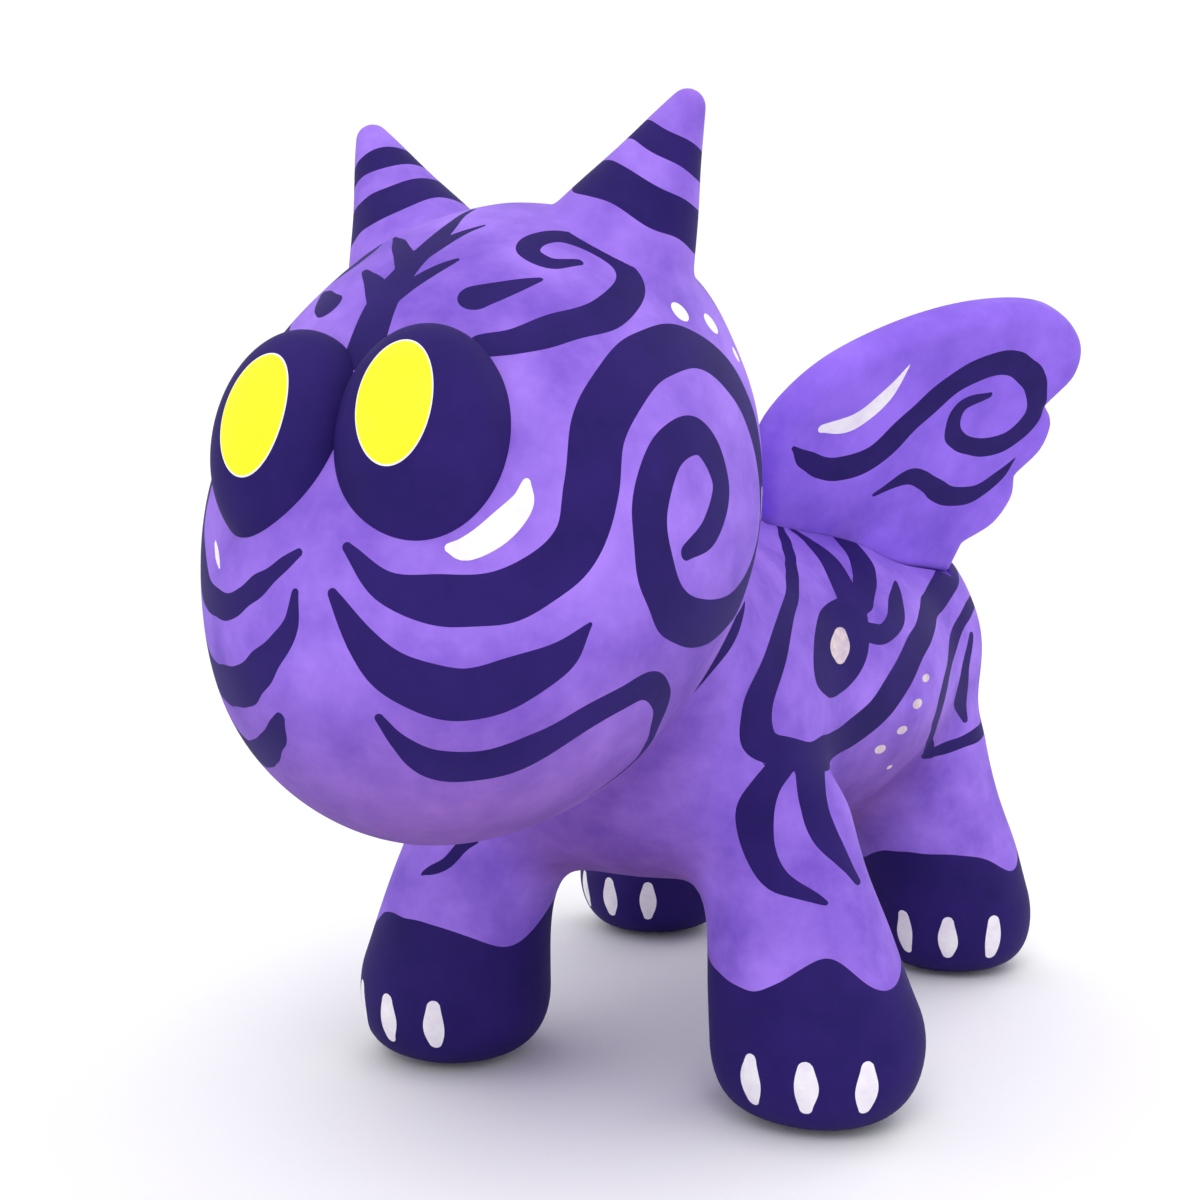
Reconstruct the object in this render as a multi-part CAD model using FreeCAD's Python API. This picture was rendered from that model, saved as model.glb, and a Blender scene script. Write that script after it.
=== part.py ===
"""A small carved and painted creature with pointed ears and a pair of wings.

Millimetres, +Z up. The creature faces -Y and its left side is +X. The origin is
on the table, under the middle of the figure. Every piece is its own solid: the
legs, eyes and head are glued and dowelled to the torso, and the ears and wings
are pushed on with pegs, so that they pull off again.
"""
import FreeCAD
import Part
import math
import os

Vec = FreeCAD.Vector

# Fits
glue_gap = 0.15           # between glued curved faces
peg_clearance = 0.05      # radial, round every dowel and peg
slot_clearance = 0.35     # each side of a wing root in its slot

# Head: an egg that leans back, with its narrow end at the muzzle
head_centre = Vec(0, -52.3, 90.0)
head_half_width = 34.7
head_half_depth = 33.5
head_half_length = 45.8
head_lean = 41.8          # degrees from upright, top to the back

# Torso: a round-ended barrel along Y, with a neck, flanks that swell to the rear and a rump
torso_front = Vec(0, 0, 60.0)
torso_front_radius = 28.0
torso_rear = Vec(0, 58.0, 60.0)
torso_rear_radius = 31.0
neck_end = Vec(0, -25.0, 77.0)
neck_end_radius = 21.0
flank_centre = Vec(0, 40.0, 60.0)
flank_half_width = 37.5
flank_half_length = 50.0
flank_half_height = 28.0
rump_centre = Vec(0, 64.2, 64.0)
rump_half_width = 38.5
rump_half_length = 27.5
rump_half_height = 28.0

# Legs: tapered posts with a round shoulder and a flat sole
front_leg_top = Vec(25.0, -9.0, 40.0)
front_leg_foot = Vec(33.1, -9.5, 0.0)
front_leg_top_radius = 11.0
rear_leg_top = Vec(25.5, 68.0, 40.0)
rear_leg_foot = Vec(33.1, 75.9, 0.0)
rear_leg_top_radius = 13.5
foot_radius = 17.0
sole_rounding = 5.5
leg_joint_height = 36.0   # of the middle of each leg's dowel

# Eyes: two domes that meet on the midline
eye_centre = Vec(8.8, -82.5, 98.0)
eye_half_width = 10.0
eye_half_height = 13.4
eye_half_depth = 8.5
eye_turn = 12.0           # degrees that an eye looks outwards
eye_rise = 13.0           # degrees that an eye looks upwards

# Ears: cones that stand on a flat on the head
ear_base = Vec(11.6, -45.0, 117.0)
ear_tip = Vec(23.6, -42.8, 141.0)
ear_base_radius = 12.6
ear_tip_radius = 2.3
ear_seat_depth = 2.0      # how far each flat is cut into the head

# Wings: flat boards with a scalloped rear edge, each in a slot in the back
wing_root_front = Vec(12.0, 28.0, 85.0)
wing_root_rear = Vec(34.0, 62.0, 82.0)
wing_tip = Vec(56.5, 58.0, 117.5)
wing_thickness = 7.0
wing_edge_rounding = 1.5
wing_root_depth = 4.5     # from the root line down to the bottom of the slot
wing_root_start = -7.0    # along the root line
wing_root_end = 40.0

# Dowels, pins and pegs: radius, length in the holding piece, length in the other
neck_dowel = (4.0, 14.0, 14.0)
leg_dowel = (3.0, 12.0, 12.0)
eye_pin = (1.5, 5.0, 4.0)
ear_peg = (2.5, 12.0, 8.0)
wing_peg = (2.0, 12.0, 12.0)
wing_peg_places = (4.0, 29.0)     # along the root line
bore_end_gap = 0.5        # under the pegs that pull out


def unit(vector):
    """The vector at length one."""
    return FreeCAD.Vector(vector).normalize()


def mirrored(shape):
    """The same piece on the creature's other side."""
    return shape.mirror(Vec(0, 0, 0), Vec(1, 0, 0))


def frame_matrix(x_axis, y_axis, z_axis, origin):
    """A matrix that carries the X, Y and Z axes to three given vectors."""
    return FreeCAD.Matrix(
        x_axis.x, y_axis.x, z_axis.x, origin.x,
        x_axis.y, y_axis.y, z_axis.y, origin.y,
        x_axis.z, y_axis.z, z_axis.z, origin.z,
        0, 0, 0, 1)


def ellipsoid(centre, x_axis, y_axis, z_axis):
    """A ball stretched to three half axes."""
    return Part.makeSphere(1.0).transformGeometry(
        frame_matrix(x_axis, y_axis, z_axis, centre))


def rounded_cone(start, start_radius, end, end_radius):
    """The hull of two balls, as one solid of revolution about the line of centres."""
    axis = end - start
    length = axis.Length
    tilt = math.asin((start_radius - end_radius) / length)

    def on_ball(height, radius, angle):
        """A point of the profile on one of the balls."""
        return Vec(radius * math.cos(angle), 0, height + radius * math.sin(angle))

    bottom = on_ball(0, start_radius, -math.pi / 2)
    low_mid = on_ball(0, start_radius, (tilt - math.pi / 2) / 2)
    low = on_ball(0, start_radius, tilt)
    high = on_ball(length, end_radius, tilt)
    high_mid = on_ball(length, end_radius, (tilt + math.pi / 2) / 2)
    top = on_ball(length, end_radius, math.pi / 2)
    wire = Part.Wire([
        Part.Arc(bottom, low_mid, low).toShape(),
        Part.makeLine(low, high),
        Part.Arc(high, high_mid, top).toShape(),
        Part.makeLine(top, bottom)])
    solid = Part.Face(wire).revolve(Vec(0, 0, 0), Vec(0, 0, 1), 360)
    solid.Placement = FreeCAD.Placement(start, FreeCAD.Rotation(Vec(0, 0, 1), axis))
    return solid


def rod(middle, axis, radius, length_back, length_forward):
    """A round rod through a point, running back and forward along an axis."""
    direction = unit(axis)
    return Part.makeCylinder(radius, length_back + length_forward,
                             middle - direction * length_back, direction)


def half_space(point, normal, size=300.0):
    """A large block that fills the side of a plane that its normal points to."""
    block = Part.makeBox(size, size, size, Vec(-size / 2, -size / 2, 0))
    block.Placement = FreeCAD.Placement(point, FreeCAD.Rotation(Vec(0, 0, 1), normal))
    return block


def single(shape):
    """The one solid inside a shape."""
    solids = sorted(shape.Solids, key=lambda solid: solid.Volume)
    return solids[-1]


# Head --------------------------------------------------------------------

lean = math.radians(head_lean)
head_long = Vec(0, math.sin(lean), math.cos(lean))
head_cross = Vec(0, math.cos(lean), -math.sin(lean))


def head_egg(extra=0.0):
    """The plain head, grown by a small allowance."""
    return ellipsoid(head_centre,
                     Vec(head_half_width + extra, 0, 0),
                     head_cross * (head_half_depth + extra),
                     head_long * (head_half_length + extra))


def head_normal(point):
    """The direction straight out of the head at a point near its surface."""
    away = point - head_centre
    return unit(Vec(away.x / head_half_width ** 2, 0, 0)
                + head_cross * (away.dot(head_cross) / head_half_depth ** 2)
                + head_long * (away.dot(head_long) / head_half_length ** 2))


def head_surface(point, direction):
    """Where a ray from inside the head leaves it."""
    away = point - head_centre
    terms = []
    for axis, half in ((Vec(1, 0, 0), head_half_width), (head_cross, head_half_depth),
                       (head_long, head_half_length)):
        terms.append((away.dot(axis) / half, direction.dot(axis) / half))
    a = sum(d * d for _, d in terms)
    b = sum(p * d for p, d in terms)
    c = sum(p * p for p, _ in terms) - 1
    return point + direction * ((-b + math.sqrt(b * b - a * c)) / a)


neck_axis = unit(head_centre - torso_front)
neck_foot = head_surface(head_centre, neck_axis * -1)
ear_axis = unit(ear_tip - ear_base)
ear_foot = head_surface(ear_base, ear_axis)
ear_seat_normal = head_normal(ear_foot)
ear_seat_point = ear_foot - ear_seat_normal * ear_seat_depth


def eye_axes():
    """The directions across, up and straight out of the left eye."""
    turn = math.radians(eye_turn)
    rise = math.radians(eye_rise)
    out = Vec(math.sin(turn) * math.cos(rise), -math.cos(turn) * math.cos(rise), math.sin(rise))
    across = unit(Vec(0, 0, 1).cross(out))
    return across, out.cross(across), out


def eye_pin_rod(clearance=0.0):
    """The pin that holds the left eye, square to the head."""
    across, up, out = eye_axes()
    foot = head_surface(head_centre, unit(eye_centre - head_centre))
    radius, inner, outer = eye_pin
    return rod(foot, out, radius + clearance, inner, outer)


def ear_peg_rod(clearance=0.0, extra_depth=0.0):
    """The peg of the left ear, along the ear's axis."""
    radius, inner, outer = ear_peg
    return rod(ear_seat_point, ear_axis, radius + clearance, inner + extra_depth, outer)


def neck_dowel_rod(clearance=0.0):
    """The dowel between the torso and the head, on the line of their centres."""
    radius, inner, outer = neck_dowel
    return rod(neck_foot, neck_axis, radius + clearance, inner, outer)


def make_head():
    """The head with its ear flats and bores."""
    head = head_egg()
    flat = half_space(ear_seat_point, ear_seat_normal)
    bores = [ear_peg_rod(peg_clearance, bore_end_gap), eye_pin_rod(peg_clearance)]
    for tool in [flat] + bores:
        head = head.cut(tool)
        head = head.cut(mirrored(tool))
    return single(head.cut(neck_dowel_rod(peg_clearance)))


def make_eye():
    """The left eye: a dome hollowed to sit on the head, cut square at the midline."""
    across, up, out = eye_axes()
    dome = ellipsoid(eye_centre, across * eye_half_width, up * eye_half_height,
                     out * eye_half_depth)
    dome = dome.cut(head_egg(glue_gap))
    dome = dome.cut(half_space(Vec(0, 0, 0), Vec(-1, 0, 0)))
    return single(dome.cut(eye_pin_rod(peg_clearance)))


def make_ear():
    """The left ear: a cone with a round tip, cut flat where it stands."""
    below = ear_base - ear_axis * 8
    growth = (ear_base_radius - ear_tip_radius) / (ear_tip - ear_base).Length
    ear = rounded_cone(below, ear_base_radius + growth * 8, ear_tip, ear_tip_radius)
    ear = ear.common(half_space(ear_seat_point, ear_seat_normal))
    return single(ear.cut(ear_peg_rod(peg_clearance)))


# Wings -------------------------------------------------------------------

wing_along = unit(wing_root_rear - wing_root_front)
wing_normal = unit(wing_along.cross(wing_tip - wing_root_front))
wing_up = unit(wing_normal.cross(wing_along))


def on_wing(along, up, out=0.0):
    """A point given along the root line, up the wing and out of its face."""
    return wing_root_front + wing_along * along + wing_up * up + wing_normal * out


def wing_outline():
    """The edge of the left wing, from the front of the root round to the rear."""
    back = -wing_thickness / 2
    leading = Part.BSplineCurve()
    leading.interpolate([on_wing(u, v, back) for u, v in (
        (wing_root_start, 0.0), (-7.3, 4.0), (-10.8, 11.0), (-12.2, 20.5), (-6.0, 31.5), (6.0, 40.4),
        (20.0, 46.3), (34.0, 48.2), (44.0, 44.0), (46.8, 37.5), (43.6, 31.0))])
    upper_lobe = Part.Arc(on_wing(43.6, 31.0, back), on_wing(47.6, 24.0, back),
                          on_wing(44.6, 17.0, back))
    lower_lobe = Part.Arc(on_wing(44.6, 17.0, back), on_wing(46.0, 9.5, back),
                          on_wing(wing_root_end, 2.0, back))
    corners = [on_wing(wing_root_end, 2.0, back), on_wing(wing_root_end, -wing_root_depth, back),
               on_wing(wing_root_start, -wing_root_depth, back),
               on_wing(wing_root_start, 0.0, back)]
    edges = [leading.toShape(), upper_lobe.toShape(), lower_lobe.toShape()]
    for start, end in zip(corners, corners[1:]):
        edges.append(Part.makeLine(start, end))
    return Part.Wire(edges)


def wing_peg_rod(place, clearance=0.0, extra_depth=0.0):
    """One peg of the left wing, up through the middle of its thickness."""
    radius, inner, outer = wing_peg
    return rod(on_wing(place, -wing_root_depth), wing_up, radius + clearance,
               inner + extra_depth, outer)


def wing_slot():
    """The pocket in the back that takes the root of the left wing."""
    margin = slot_clearance
    corner = on_wing(wing_root_start - margin, -wing_root_depth,
                     -wing_thickness / 2 - margin)
    length = wing_root_end - wing_root_start + 2 * margin
    block = Part.makeBox(length, 40.0, wing_thickness + 2 * margin)
    return block.transformGeometry(frame_matrix(wing_along, wing_up, wing_normal, corner))


def make_wing():
    """The left wing: a board with rounded edges, bored for its pegs."""
    board = Part.Face(wing_outline()).extrude(wing_normal * wing_thickness)
    rounded = []
    for edge in board.Edges:
        middle = edge.valueAt((edge.FirstParameter + edge.LastParameter) / 2)
        offset = abs((middle - wing_root_front).dot(wing_normal))
        height = (middle - wing_root_front).dot(wing_up)
        if abs(offset - wing_thickness / 2) < 0.01 and height > 1.0:
            rounded.append(edge)
    board = board.makeFillet(wing_edge_rounding, rounded)
    for place in wing_peg_places:
        board = board.cut(wing_peg_rod(place, peg_clearance))
    return single(board)


# Torso and legs ----------------------------------------------------------

def torso_barrel(extra=0.0):
    """The plain torso, grown by a small allowance."""
    barrel = rounded_cone(torso_front, torso_front_radius + extra,
                          torso_rear, torso_rear_radius + extra)
    neck = rounded_cone(torso_front, torso_front_radius + extra,
                        neck_end, neck_end_radius + extra)
    flanks = ellipsoid(flank_centre, Vec(flank_half_width + extra, 0, 0),
                       Vec(0, flank_half_length + extra, 0),
                       Vec(0, 0, flank_half_height + extra))
    rump = ellipsoid(rump_centre, Vec(rump_half_width + extra, 0, 0),
                     Vec(0, rump_half_length + extra, 0),
                     Vec(0, 0, rump_half_height + extra))
    return barrel.fuse([neck, flanks, rump])


def leg_dowel_rod(top, foot, clearance=0.0):
    """The dowel up the middle of one leg into the torso."""
    axis = unit(top - foot)
    middle = foot + axis * (leg_joint_height / axis.z)
    radius, inner, outer = leg_dowel
    return rod(middle, axis, radius + clearance, outer, inner)


legs = {
    "front": (front_leg_top, front_leg_foot, front_leg_top_radius),
    "rear": (rear_leg_top, rear_leg_foot, rear_leg_top_radius),
}


def make_torso():
    """The torso, hollowed to sit against the head, with its wing slots and bores."""
    torso = torso_barrel().cut(head_egg(glue_gap))
    torso = torso.cut(neck_dowel_rod(peg_clearance))
    tools = [wing_slot()]
    tools += [wing_peg_rod(place, peg_clearance, bore_end_gap) for place in wing_peg_places]
    tools += [leg_dowel_rod(top, foot, peg_clearance) for top, foot, _ in legs.values()]
    for tool in tools:
        torso = torso.cut(tool)
        torso = torso.cut(mirrored(tool))
    return single(torso)


def make_leg(top, foot, top_radius):
    """One left leg: a tapered post from its shoulder to a rounded flat sole."""
    axis = unit(foot - top)
    below = foot + axis * 20
    growth = (foot_radius - top_radius) / (foot - top).Length
    post = rounded_cone(top, top_radius, below, foot_radius + growth * 20)
    post = single(post.common(half_space(Vec(0, 0, 0), Vec(0, 0, 1))))
    sole = [edge for edge in post.Edges if edge.BoundBox.ZMax < 0.01]
    post = post.makeFillet(sole_rounding, sole)
    post = single(post.cut(torso_barrel(glue_gap)))
    return single(post.cut(leg_dowel_rod(top, foot, peg_clearance)))


# Export ------------------------------------------------------------------

def save(name, shape):
    """Write one piece to its own file."""
    if not shape.isValid():
        raise ValueError(name + " is not a valid solid")
    shape.exportStep("parts/" + name + ".step")


def save_pair(name, left, suffix=""):
    """Write a left piece and its mirror image."""
    save(name + "_left" + suffix, left)
    save(name + "_right" + suffix, mirrored(left))


os.makedirs("parts", exist_ok=True)
save("torso", make_torso())
save("head", make_head())
save("neck_dowel", neck_dowel_rod())
for place, (top, foot, top_radius) in legs.items():
    save_pair("leg_" + place, make_leg(top, foot, top_radius))
    save_pair("leg_" + place, leg_dowel_rod(top, foot), "_dowel")
save_pair("eye", make_eye())
save_pair("eye", eye_pin_rod(), "_pin")
save_pair("ear", make_ear())
save_pair("ear", ear_peg_rod(), "_peg")
save_pair("wing", make_wing())
for name, place in zip(("_peg_front", "_peg_rear"), wing_peg_places):
    save_pair("wing", wing_peg_rod(place), name)
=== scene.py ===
"""Looks of the carved and painted winged creature.

Shapes are smooth skins over the CAD frame, and every painted mark is its own crisp
piece cut out of a skin. Lengths in this script are in millimetres; one millimetre is
taken from the frame's height, and meshes are turned into metres as they are made.
"""
import math

import bmesh
import bpy
import numpy as np
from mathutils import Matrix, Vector


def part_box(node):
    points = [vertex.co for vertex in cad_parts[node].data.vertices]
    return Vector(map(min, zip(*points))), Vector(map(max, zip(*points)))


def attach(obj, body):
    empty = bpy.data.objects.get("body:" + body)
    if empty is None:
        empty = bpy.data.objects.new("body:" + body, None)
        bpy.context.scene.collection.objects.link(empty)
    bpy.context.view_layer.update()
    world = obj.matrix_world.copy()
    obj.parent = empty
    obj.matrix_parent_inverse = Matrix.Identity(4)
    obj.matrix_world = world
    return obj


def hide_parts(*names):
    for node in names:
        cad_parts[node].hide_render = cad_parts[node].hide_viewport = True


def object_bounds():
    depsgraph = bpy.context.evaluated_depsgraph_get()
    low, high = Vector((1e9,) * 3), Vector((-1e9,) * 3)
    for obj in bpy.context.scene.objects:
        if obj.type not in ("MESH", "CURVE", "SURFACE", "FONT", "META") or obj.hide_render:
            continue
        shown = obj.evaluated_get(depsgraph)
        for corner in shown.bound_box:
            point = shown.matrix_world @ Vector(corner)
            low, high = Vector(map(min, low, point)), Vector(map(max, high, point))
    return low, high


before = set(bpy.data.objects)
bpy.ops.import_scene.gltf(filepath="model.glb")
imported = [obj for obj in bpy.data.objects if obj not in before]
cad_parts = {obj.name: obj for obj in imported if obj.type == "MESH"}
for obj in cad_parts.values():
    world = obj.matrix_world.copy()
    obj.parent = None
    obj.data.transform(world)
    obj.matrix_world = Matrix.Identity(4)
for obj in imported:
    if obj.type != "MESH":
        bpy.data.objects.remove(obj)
cad_low, cad_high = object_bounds()

DESIGN_HEIGHT = 143.3                       # to the ear tips
MM = (cad_high.z - cad_low.z) / DESIGN_HEIGHT


def cad_box(node):
    """The low and high corners of a CAD piece, in millimetres."""
    low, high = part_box(node)
    return np.array(low) / MM, np.array(high) / MM


def unit(vector):
    """The vector at length one."""
    return np.asarray(vector, float) / np.linalg.norm(vector)


# Sizes, from the frame ----------------------------------------------------

head_low, head_high = cad_box("head")
torso_low, torso_high = cad_box("torso")
_, foot_front_high = cad_box("leg_front_left")
_, foot_rear_high = cad_box("leg_rear_left")
eye_low, eye_high = cad_box("eye_left")
ear_low, ear_high = cad_box("ear_left")

HEAD_LEAN = math.radians(41.8)
HEAD_CENTRE = (head_low + head_high) / 2
HEAD_PROPORTIONS = np.array([1.0, 0.965, 1.32])             # across, along, up before the lean
HEAD_HALF = (head_high[0] - head_low[0]) / 2 * HEAD_PROPORTIONS
HEAD_AXES = np.array([
    [1, 0, 0],
    [0, math.cos(HEAD_LEAN), math.sin(HEAD_LEAN)],
    [0, -math.sin(HEAD_LEAN), math.cos(HEAD_LEAN)]])       # columns are the axes

TORSO_FRONT_RADIUS = 28.0
TORSO_REAR_RADIUS = 31.0
TORSO_FRONT = np.array([0, 0, torso_low[2] + TORSO_REAR_RADIUS])
TORSO_REAR = TORSO_FRONT + [0, 58.0, 0]
NECK_END = TORSO_FRONT + [0, -25.0, 17.0]
NECK_END_RADIUS = 21.0
FLANK_HALF = np.array([37.5, 50.0, 28.0])
FLANK_CENTRE = TORSO_FRONT + [0, 40.0, 0]
RUMP_HALF = np.array([torso_high[0], 27.5, 28.0])
RUMP_CENTRE = np.array([0, torso_high[1] - RUMP_HALF[1], TORSO_FRONT[2] + 4.0])

FOOT_RADIUS = 15.8
FOOT_HEIGHT = 11.0                          # of the middle of the foot's ball
FOOT_INSET = 17.7                           # from the outer side of the CAD leg
FRONT_FOOT = np.array([foot_front_high[0] - FOOT_INSET, -9.4, FOOT_HEIGHT])
FRONT_SHOULDER = np.array([25.0, -9.0, 40.0])
FRONT_SHOULDER_RADIUS = 11.0
REAR_FOOT = np.array([foot_rear_high[0] - FOOT_INSET, 74.0, FOOT_HEIGHT])
REAR_SHOULDER = np.array([25.5, 68.0, 40.0])
REAR_SHOULDER_RADIUS = 13.5

EYE_INSET = 8.9                             # of the dome's middle from the eye's front
EYE_DROP = 1.35                             # of the dome's middle below the CAD eye's
EYE_CENTRE = np.array([8.8, eye_low[1] + EYE_INSET, (eye_low[2] + eye_high[2]) / 2 - EYE_DROP])
EYE_HALF = np.array([10.0, 13.4, 8.5])
EYE_OUT = unit([0.20, -0.93, 0.22])
EYE_ACROSS = unit(np.cross([0, 0, 1], EYE_OUT))
EYE_UP = np.cross(EYE_OUT, EYE_ACROSS)
EYE_AXES = np.stack([EYE_ACROSS, EYE_UP, EYE_OUT], 1)
PUPILS = {"left": (-1.0, 2.7), "right": (-1.3, 1.6)}        # (across, up) on each dome
PUPIL_HALF = (4.35, 7.1)
RIM_WIDTH = 0.12

EAR_TIP_RADIUS = 2.3
EAR_TIP = np.array([ear_high[0] - EAR_TIP_RADIUS, -42.8, ear_high[2] - EAR_TIP_RADIUS])
EAR_BASE = EAR_TIP - [12.0, 2.2, 24.0]
EAR_AXIS = unit(EAR_TIP - EAR_BASE)
EAR_BASE_RADIUS = 12.6
EAR_SEAT_DEPTH = 2.0
EAR_BORE_RADIUS = 2.55
EAR_FILLET = 1.5                            # where an ear runs into the head
EAR_BANDS = ((21.4, 1.7), (14.0, 2.4))      # (height, half width) along the ear

WING_FRONT = np.array([12.0, 28.0, 85.0])
WING_REAR = np.array([34.0, 62.0, 82.0])
WING_TIP = np.array([56.5, 58.0, 117.5])
WING_ALONG = unit(WING_REAR - WING_FRONT)
WING_FACE = unit(np.cross(WING_ALONG, WING_TIP - WING_FRONT))
WING_UP = np.cross(WING_FACE, WING_ALONG)
WING_HALF_THICKNESS = 3.5
WING_ROOT = (-7.0, 40.0)                    # along the root line
WING_ROOT_DEPTH = 4.5
SLOT_MARGIN = 0.35
WING_PEGS = (4.0, 29.0)
WING_BORE_RADIUS = 2.05
SLOT_WALL_HEIGHT = 12.0                     # above the root line, past the skin
PEG_BORE_DEPTH = 12.5
BORE_MOUTH_REACH = 0.3                      # only the slot's floor is cut for a bore

BARREL_BLEND, NECK_BLEND, LEG_BLEND, SOLE_BLEND = 8, 6, 18, 8
BODY_CARVING, HEAD_CARVING, EAR_CARVING = 0.22, 0.18, 0.12
SOCK_HEIGHT = 23.6
TOE_RING_RADIUS = 17.0
TOE_ANGLES = (-18, 13, 45)                  # degrees outwards from straight ahead
TOE_SHAPE = ((5.2, 1.0), (8.5, 1.75), (12.0, 1.1))          # (height, half width) upwards

HEAD_DIVISIONS, EYE_DIVISIONS = 7, 6
BODY_SPACING, WING_SPACING, EAR_SPACING = 1.1, 0.7, 0.5     # between mesh points
SEAT_SIDES, BORE_SIDES = 144, 48
EDGE_BAND = 1.3                             # finer triangles this near a painted edge
FLANK_SQUEEZE = 0.42                        # marks are drawn longer along the flanks
FAR = 50.0                                  # a value well clear of any edge

CAMERA_PLACE = (102.5, -233.9, 93.3)
CAMERA_TURN = math.radians(25.5)
CAMERA_DROP = math.radians(4.1)
CAMERA_LENS = 48
CAMERA_SENSOR = 36
LIGHT_TARGET = (0, 0, 70)
LIGHT_SIZE = 320


# Distance fields ----------------------------------------------------------

def smooth_min(a, b, reach):
    """The smaller of two distances, blended where they are within a reach."""
    blend = np.maximum(reach - np.abs(a - b), 0) / reach
    return np.minimum(a, b) - blend ** 3 * reach / 6


def smooth_max(a, b, reach):
    """The larger of two distances, blended where they are within a reach."""
    return -smooth_min(-a, -b, reach)


def ellipsoid(points, centre, half, axes=None):
    """Near distance to an ellipsoid."""
    local = points - centre
    if axes is not None:
        local = local @ axes
    scaled = np.linalg.norm(local / half, axis=1)
    slope = np.linalg.norm(local / half ** 2, axis=1)
    return scaled * (scaled - 1) / np.maximum(slope, 1e-9)


def rounded_cone(points, start, end, start_radius, end_radius):
    """Distance to the hull of two balls."""
    axis = end - start
    length = np.linalg.norm(axis)
    axis = axis / length
    slope = (start_radius - end_radius) / length
    rise = math.sqrt(1 - slope * slope)
    away = points - start
    along = away @ axis
    side = np.linalg.norm(away - np.outer(along, axis), axis=1)
    place = along - side * slope / rise
    near_start = np.hypot(side, along) - start_radius
    near_end = np.hypot(side, along - length) - end_radius
    flank = side * rise + along * slope - start_radius
    return np.where(place < 0, near_start, np.where(place > length, near_end, flank))


def mirrored_points(points):
    """The points folded over to the creature's left side."""
    folded = points.copy()
    folded[:, 0] = np.abs(folded[:, 0])
    return folded


def carved(points, strength):
    """A little unevenness left by the carver, the same every time."""
    x, y, z = points.T
    return strength * (np.sin(x * 0.17 + y * 0.11 + 0.7) * np.sin(z * 0.15 - y * 0.07 + 1.9)
                       + 0.5 * np.sin(x * 0.31 - z * 0.27 + y * 0.05))


def head_field(points):
    """Distance to the head."""
    return ellipsoid(points, HEAD_CENTRE, HEAD_HALF, HEAD_AXES)


def body_field(points):
    """Distance to the torso and legs as one smooth form."""
    folded = mirrored_points(points)
    body = rounded_cone(points, TORSO_FRONT, TORSO_REAR, TORSO_FRONT_RADIUS, TORSO_REAR_RADIUS)
    body = smooth_min(body, ellipsoid(points, FLANK_CENTRE, FLANK_HALF), BARREL_BLEND)
    body = smooth_min(body, ellipsoid(points, RUMP_CENTRE, RUMP_HALF), BARREL_BLEND)
    neck = rounded_cone(points, TORSO_FRONT, NECK_END, TORSO_FRONT_RADIUS, NECK_END_RADIUS)
    body = smooth_min(body, neck, NECK_BLEND)
    front = rounded_cone(folded, FRONT_SHOULDER, FRONT_FOOT, FRONT_SHOULDER_RADIUS, FOOT_RADIUS)
    rear = rounded_cone(folded, REAR_SHOULDER, REAR_FOOT, REAR_SHOULDER_RADIUS, FOOT_RADIUS)
    body = smooth_min(smooth_min(body, front, LEG_BLEND), rear, LEG_BLEND)
    body = body + carved(points, BODY_CARVING)
    return smooth_max(body, -points[:, 2], SOLE_BLEND)


def normals_of(field, points, step=0.2):
    """Outward directions of a field at some points."""
    slopes = np.stack([field(points + offset) - field(points - offset)
                       for offset in np.eye(3) * step], 1)
    return slopes / np.maximum(np.linalg.norm(slopes, axis=1, keepdims=True), 1e-9)


def settle(field, points, rounds=3):
    """The points moved onto the surface of a field."""
    for _ in range(rounds):
        points = points - normals_of(field, points) * field(points)[:, None]
    return points


# Meshes -------------------------------------------------------------------

def surface_mesh(field, low, high, spacing):
    """A triangle mesh of a field's surface on an even grid."""
    counts = np.ceil((np.asarray(high) - low) / spacing).astype(int) + 1
    axes = [low[i] + spacing * np.arange(counts[i]) for i in range(3)]
    grid = np.stack(np.meshgrid(*axes, indexing="ij"), -1).reshape(-1, 3)
    inside = field(grid).reshape(counts) < 0
    corners = sum(inside[i:counts[0] - 1 + i, j:counts[1] - 1 + j, k:counts[2] - 1 + k].astype(int)
                  for i in (0, 1) for j in (0, 1) for k in (0, 1))
    mixed = (corners > 0) & (corners < 8)
    index = np.full(mixed.shape, -1)
    index[mixed] = np.arange(mixed.sum())
    points = np.argwhere(mixed) * spacing + np.asarray(low) + spacing / 2
    quads = []
    for axis in range(3):
        first, second = (axis + 1) % 3, (axis + 2) % 3
        here = np.moveaxis(inside, axis, 0)
        crossing = np.moveaxis(here[1:] != here[:-1], 0, axis)
        cells = np.argwhere(crossing)
        keep = (cells[:, first] > 0) & (cells[:, second] > 0)
        keep &= (cells[:, first] < counts[first] - 1) & (cells[:, second] < counts[second] - 1)
        cells = cells[keep]
        ring = []
        for back_first, back_second in ((1, 1), (0, 1), (0, 0), (1, 0)):
            cell = cells.copy()
            cell[:, first] -= back_first
            cell[:, second] -= back_second
            ring.append(index[tuple(cell.T)])
        ring = np.stack(ring, 1)
        starts_inside = inside[tuple(cells.T)]
        ring[~starts_inside] = ring[~starts_inside][:, ::-1]
        quads.append(ring)
    quads = np.concatenate(quads)
    points = relax(points, quads, field)
    triangles = np.concatenate([quads[:, [0, 1, 2]], quads[:, [0, 2, 3]]])
    return points, triangles


def relax(points, quads, field, rounds=4):
    """Evens out a mesh while it is kept on its surface."""
    edges = np.concatenate([quads[:, [i, (i + 1) % 4]] for i in range(4)])
    edges = np.concatenate([edges, edges[:, ::-1]])
    count = np.bincount(edges[:, 0], minlength=len(points))[:, None]
    for _ in range(rounds):
        total = np.stack([np.bincount(edges[:, 0], points[edges[:, 1], i], len(points))
                          for i in range(3)], 1)
        points = settle(field, total / count, 1)
    return settle(field, points, 3)


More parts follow.
